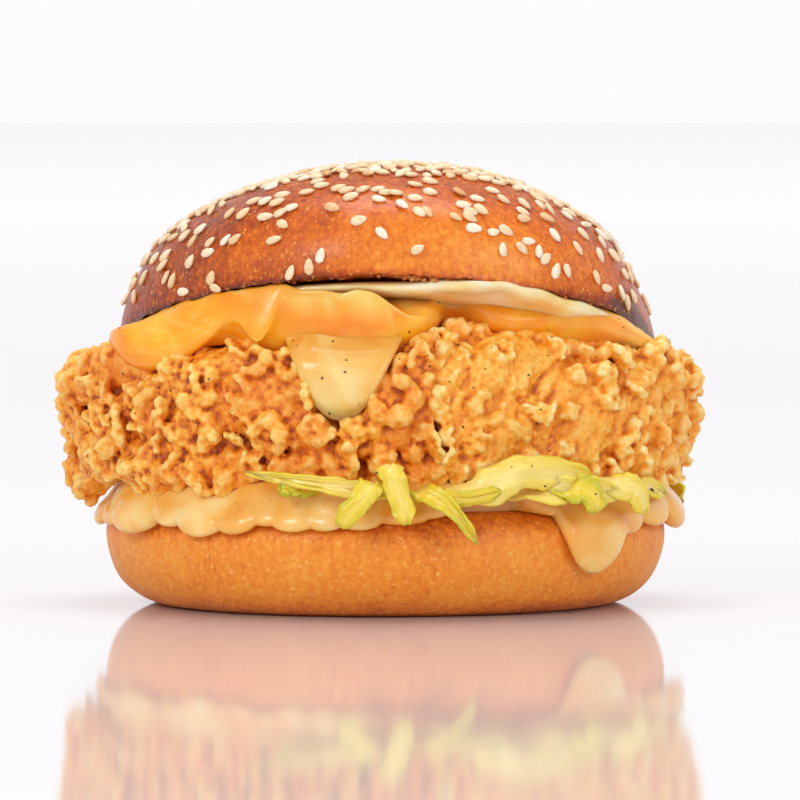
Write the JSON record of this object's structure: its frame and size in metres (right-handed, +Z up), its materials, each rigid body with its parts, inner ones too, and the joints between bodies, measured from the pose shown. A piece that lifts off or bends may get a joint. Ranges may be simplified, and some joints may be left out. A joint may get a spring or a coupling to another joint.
{
  "type": "chicken burger",
  "caption": "Crispy fried chicken burger with lettuce, melted cheese and cream sauce in a seeded brioche bun, standing on its base.",
  "frame": {"origin": "centre of the flat base of the lower bun, on the surface it stands on", "axes": "+Z up through the crown, +X to the right of the side shown in the picture, and that side faces -Y"},
  "size_m": [0.1282, 0.1261, 0.0884],
  "materials": {
    "bun_crust": "glossy baked crust with ivory seeds",
    "bun_side": "satin baked crust",
    "fried_crust": "rough golden crust",
    "cream_sauce": "glossy sauce",
    "melted_cheese": "glossy melted cheese",
    "lettuce_leaf": "satin leaf"
  },
  "bodies": {
    "root": {"bun_bottom": "bun_side", "sauce_bottom": "cream_sauce", "lettuce": "lettuce_leaf", "chicken_left": "fried_crust", "chicken_right": "fried_crust", "sauce_middle": "cream_sauce", "cheese": "melted_cheese", "sauce_top": "cream_sauce", "bun_top": "bun_crust"}
  },
  "joints": []
}
